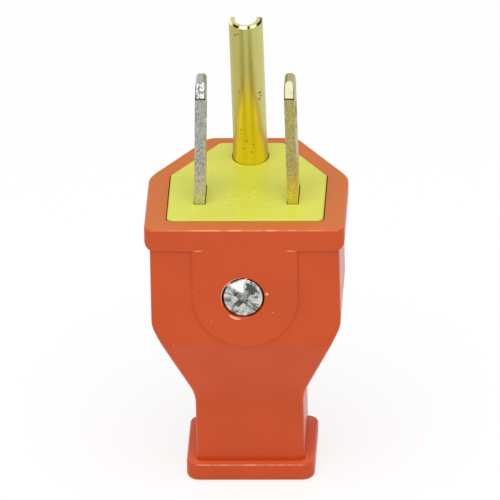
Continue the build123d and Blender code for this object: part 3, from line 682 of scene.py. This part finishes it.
class PLUG_OT_add_burrs(bpy.types.Operator):
    """Add three small burrs that the driver raised round the screw hole and a painted highlight sliver along
    its edge, all in a pale painted highlight colour
    """

    bl_idname = "plug.add_burrs"
    bl_label = "Add Burrs"

    def execute(self, context):
        settings = context.scene.plug_plastics
        # The burrs are drawn pale with a painted highlight.
        burr_highlight = settings.burr_highlight_colour
        nylon = satin_moulding("orange_nylon_burr_highlight", burr_highlight, burr_highlight, burr_highlight, settings)
        # Name, first and last angle in degrees, then radius, width and height in millimetres.
        for name, start, end, *sizes in (
            ("hole_burr_low", -128, -96, 3.22, 0.42, 0.14),
            ("hole_burr_right", 6, 14, 3.3, 0.55, 0.12),
            ("hole_burr_top", 77, 84, 2.86, 0.34, 0.08),
            # This thin sliver is no burr but a painted highlight along the hole's upper left edge.
            ("hole_edge_painted_highlight", 88, 208, 2.99, 0.13, 0.05),
        ):
            radius, width, height = (size * MM for size in sizes)
            burr = self.build_burr(name, math.radians(start), math.radians(end), radius, width, height)
            burr.data.materials.append(nylon)
            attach(burr, "root")
        return {"FINISHED"}

    def build_burr(self, name, start, end, radius, width, height):
        """Sliver along an arc round the hole, widest and tallest in its middle, on the pad's front."""
        thinnest, bluntness = 0.05, 0.7
        mesh = bmesh.new()
        loops = []
        for step in range(BURR_RINGS + 1):
            share = step / BURR_RINGS
            swell = max(thinnest, math.sin(math.pi * share) ** bluntness)
            angle = start + (end - start) * share
            points = self.ring(angle, radius, width / 2 * swell, height * swell)
            loops.append([mesh.verts.new(point) for point in points])
        for first, second in zip(loops, loops[1:]):
            for side in range(BURR_SIDES):
                after = (side + 1) % BURR_SIDES
                mesh.faces.new((first[side], first[after], second[after], second[side]))
        mesh.faces.new(loops[0])
        mesh.faces.new(loops[-1][::-1])
        bmesh.ops.recalc_face_normals(mesh, faces=mesh.faces)
        shape = bpy.data.meshes.new(name)
        mesh.to_mesh(shape)
        mesh.free()
        shape.shade_smooth()
        return add_object(name, shape)

    def ring(self, angle, radius, half_width, height):
        """Points round a burr's section at one angle of the arc, its back sunk a little into the pad."""
        sunk = -0.2
        points = []
        for side in range(BURR_SIDES):
            turn = 2 * math.pi * side / BURR_SIDES
            reach = radius + half_width * math.cos(turn)
            rise = height * max(sunk, math.sin(turn))
            x = SCREW_CENTRE.x + reach * math.cos(angle)
            z = SCREW_CENTRE.z + reach * math.sin(angle)
            points.append((x, HOUSING_LOW.y - rise, z))
        return points


class PLUG_OT_dress_face(bpy.types.Operator):
    """Dress the face in yellow vinyl"""

    bl_idname = "plug.dress_face"
    bl_label = "Dress Face"

    def execute(self, context):
        settings = context.scene.plug_plastics
        vinyl = scuffed_vinyl("yellow_vinyl_moulded", settings.face_colour, settings)
        dress("plug_face", vinyl)
        return {"FINISHED"}


class PLUG_OT_dress_contacts(bpy.types.Operator):
    """Dress the two blades and the ground pin in nickel plate and brass"""

    bl_idname = "plug.dress_contacts"
    bl_label = "Dress Contacts"

    def execute(self, context):
        metals = context.scene.plug_metals
        nickel = blanked_strip(
            "nickel_plate_on_blanked_brass",
            metals.nickel_colour,
            metals.nickel_dull,
            metals.nickel_dark,
            metals.nickel_facet,
            streaks=0.9,
            settings=metals,
        )
        blanked = blanked_strip(
            "brass_strip_blanked",
            metals.brass_colour,
            metals.brass_dull,
            metals.brass_dark,
            metals.brass_facet,
            streaks=0.2,
            settings=metals,
        )
        folded = folded_sheet("brass_sheet_folded", metals, self.pin_pits(), self.lip_black_marks())
        dress("neutral_blade", nickel)
        dress("hot_blade", blanked)
        dress("ground_pin", folded)
        return {"FINISHED"}

    def lip_black_marks(self):
        """Near-black marks on the slope of the pin's lip: at its left end, in the middle and at its right
        end.
        """
        depth = 4 * MM
        middle = (PIN_LOW + PIN_HIGH) / 2
        lip = Vector((middle.x, middle.y, PIN_HIGH.z))
        return [
            (lip + Vector((right * MM, 0, 0)), (half * MM, depth, depth))
            for right, half in ((-1.5, 0.7), (0.2, 0.4), (1.6, 0.5))
        ]

    def pin_pits(self):
        """Dark pits on the front of the pin, by their places right, back and down from its tip, and radii."""
        middle_x = (PIN_LOW.x + PIN_HIGH.x) / 2
        places = (
            (-1.65, 0.8, 1.4, 0.18),
            (-1.25, 0.55, 1.1, 0.17),
            (1.55, 0.9, 10.1, 0.22),
            (1.65, 1.0, 10.6, 0.17),
            (1.5, 0.85, 11.0, 0.19),
            (-1.3, 0.6, 9.8, 0.12),
            (-1.1, 0.5, 15.4, 0.12),
            (-0.3, 0.2, 17.0, 0.1),
            (0.6, 0.3, 17.5, 0.1),
            (-0.8, 0.3, 18.1, 0.12),
            (0.3, 0.2, 18.6, 0.11),
        )
        return [
            (
                (middle_x + right * MM, PIN_LOW.y + back * MM, PIN_HIGH.z - down * MM),
                (radius * MM, 3 * radius * MM, radius * MM),
            )
            for right, back, down, radius in places
        ]


class PLUG_OT_dress_fasteners(bpy.types.Operator):
    """Dress the screws, the nut and the wire clamps in zinc, brass and green dye"""

    bl_idname = "plug.dress_fasteners"
    bl_label = "Dress Fasteners"

    def execute(self, context):
        metals = context.scene.plug_metals
        zinc_finish = (metals.zinc_colour, metals.zinc_dull, metals.zinc_dark)
        brass_finish = (metals.brass_colour, metals.brass_dull, metals.brass_dark)
        green_finish = (metals.green_colour, tint(metals.green_colour, 0.7), tint(metals.green_colour, 0.4))
        zinc = headed_metal("zinc_plate_on_headed_steel", *zinc_finish, metals)
        brass = headed_metal("brass_wire_headed", *brass_finish, metals)
        green = headed_metal("green_dyed_zinc_plate", *green_finish, metals)
        scarred = cammed_head("zinc_plate_scarred_by_driver", *zinc_finish, metals)
        dress("housing_screw", scarred)
        for node in (
            "housing_nut",
            "carrier_screw",
            "neutral_terminal_screw",
            "neutral_wire_clamp",
            "hot_wire_clamp",
            "ground_wire_clamp",
        ):
            dress(node, zinc)
        dress("hot_terminal_screw", brass)
        dress("ground_terminal_screw", green)
        return {"FINISHED"}


class PLUG_OT_dress_inside(bpy.types.Operator):
    """Dress the contact carrier and the cord grips in black phenolic"""

    bl_idname = "plug.dress_inside"
    bl_label = "Dress Inside"

    def execute(self, context):
        settings = context.scene.plug_plastics
        colour = settings.carrier_colour
        black = satin_moulding("black_phenolic_moulded", colour, colour, colour, settings)
        for node in ("contact_carrier", "cord_grip_left", "cord_grip_right"):
            dress(node, black)
        return {"FINISHED"}


class PLUG_OT_add_stage(bpy.types.Operator):
    """Add the floor, the soft lights and the camera"""

    bl_idname = "plug.add_stage"
    bl_label = "Add Stage"

    def execute(self, context):
        stage = context.scene.plug_stage
        self.add_floor(stage)
        self.light_world(context.scene, stage)
        self.add_softbox(stage)
        self.add_camera(context.scene, stage)
        return {"FINISHED"}

    def add_floor(self, stage):
        """White paper that shows white to the camera and in metal, and still takes the plug's shadow."""
        shape = bpy.data.meshes.new("floor")
        sides = ((-1, -1), (1, -1), (1, 1), (-1, 1))
        corners = [(x * FLOOR_HALF, y * FLOOR_HALF, 0) for x, y in sides]
        shape.from_pydata(corners, [], [(0, 1, 2, 3)])
        floor = add_object("floor", shape)
        material = bpy.data.materials.new("white_paper_rolled")
        tree = empty_tree(material)
        paper = add_node(tree, "ShaderNodeBsdfDiffuse", {"Color": stage.floor_colour}, 0)
        white = add_node(tree, "ShaderNodeEmission", {"Color": WHITE, "Strength": 1.0}, 0)
        share = {VALUE: self.seen_directly(tree), TO_HIGH: stage.floor_glow}
        share = add_node(tree, "ShaderNodeMapRange", share, 0)
        mix = add_node(tree, "ShaderNodeMixShader", {0: share, 1: paper, 2: white}, 0)
        add_node(tree, "ShaderNodeOutputMaterial", {"Surface": mix})
        shape.materials.append(material)

    def seen_directly(self, tree):
        """1 for what the camera sees, straight or in metal and glass."""
        path = add_node(tree, "ShaderNodeLightPath")
        seen = path.outputs["Is Camera Ray"]
        for ray in ("Is Glossy Ray", "Is Transmission Ray"):
            seen = add_node(tree, "ShaderNodeMath", {0: seen, 1: path.outputs[ray]}, 0, operation="MAXIMUM")
        return seen

    def light_world(self, scene, stage):
        """Even light from all round, seen as white."""
        world = bpy.data.worlds.new("studio")
        tree = empty_tree(world)
        level = {VALUE: self.seen_directly(tree), TO_LOW: stage.sky_level}
        level = add_node(tree, "ShaderNodeMapRange", level, 0)
        sky = add_node(tree, "ShaderNodeBackground", {"Color": WHITE, "Strength": level}, 0)
        add_node(tree, "ShaderNodeOutputWorld", {"Surface": sky})
        scene.world = world

    def add_softbox(self, stage):
        """One wide lamp overhead, a little to the front, aimed half way up the plug's housing."""
        lamp = bpy.data.lights.new("softbox", "AREA")
        lamp.shape = "SQUARE"
        lamp.size = stage.softbox_size
        # A flat lamp gives off its radiance times pi times its area.
        lamp.energy = stage.softbox_radiance * math.pi * stage.softbox_size**2
        softbox = add_object("softbox", lamp)
        place = Vector((0, -stage.softbox_front, stage.softbox_height))
        softbox.location = place
        softbox.rotation_euler = (HOUSING_HIGH * 0.5 - place).to_track_quat("-Z", "Y").to_euler()

    def add_camera(self, scene, stage):
        """Camera at the picture's angle, far off with a long lens, so that upright lines stay upright."""
        turn, lift, roll = stage.azimuth, stage.elevation, stage.roll
        back = Vector((math.sin(turn) * math.cos(lift), -math.cos(turn) * math.cos(lift), math.sin(lift)))
        level_up = Vector((-math.sin(turn) * math.sin(lift), math.cos(turn) * math.sin(lift), math.cos(lift)))
        level_right = Vector((math.cos(turn), math.sin(turn), 0))
        up = level_up * math.cos(roll) + level_right * math.sin(roll)
        right = level_right * math.cos(roll) - level_up * math.sin(roll)
        rim_front = Vector((0, HOUSING_LOW.y, HOUSING_HIGH.z))
        target = rim_front + right * stage.aim_right - up * stage.aim_down
        camera = bpy.data.cameras.new("camera")
        camera.lens = camera.sensor_width * stage.distance / stage.frame_width
        viewer = add_object("camera", camera)
        turned = Matrix((right, up, back)).transposed().to_4x4()
        viewer.matrix_world = Matrix.Translation(target + back * stage.distance) @ turned
        scene.camera = viewer
        scene.view_settings.view_transform = "Standard"


OPERATORS = (
    PLUG_OT_dress_housing,
    PLUG_OT_add_burrs,
    PLUG_OT_dress_face,
    PLUG_OT_dress_contacts,
    PLUG_OT_dress_fasteners,
    PLUG_OT_dress_inside,
    PLUG_OT_add_stage,
)


class PLUG_PT_finish(bpy.types.Panel):
    """Lists the plug's settings and its operators"""

    bl_idname = "PLUG_PT_finish"
    bl_label = "Plug Finish"
    bl_space_type = "VIEW_3D"
    bl_region_type = "UI"
    bl_category = "Plug"

    def draw(self, context):
        for group in (context.scene.plug_plastics, context.scene.plug_metals, context.scene.plug_stage):
            box = self.layout.box()
            for name in group.__annotations__:
                box.prop(group, name)
        for operator in OPERATORS:
            self.layout.operator(operator.bl_idname)


GROUPS = {"plug_plastics": PlugPlastics, "plug_metals": PlugMetals, "plug_stage": PlugStage}


def register():
    """Register the settings, the operators and the panel."""
    for name, group in GROUPS.items():
        bpy.utils.register_class(group)
        setattr(bpy.types.Scene, name, bpy.props.PointerProperty(type=group))
    for kind in (*OPERATORS, PLUG_PT_finish):
        bpy.utils.register_class(kind)


def unregister():
    """Take the panel, the operators and the settings out again."""
    for kind in (PLUG_PT_finish, *reversed(OPERATORS)):
        bpy.utils.unregister_class(kind)
    for name, group in GROUPS.items():
        delattr(bpy.types.Scene, name)
        bpy.utils.unregister_class(group)


def main():
    """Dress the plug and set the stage."""
    register()
    bpy.ops.plug.dress_housing()
    bpy.ops.plug.add_burrs()
    bpy.ops.plug.dress_face()
    bpy.ops.plug.dress_contacts()
    bpy.ops.plug.dress_fasteners()
    bpy.ops.plug.dress_inside()
    bpy.ops.plug.add_stage()


if __name__ == "__main__":
    main()
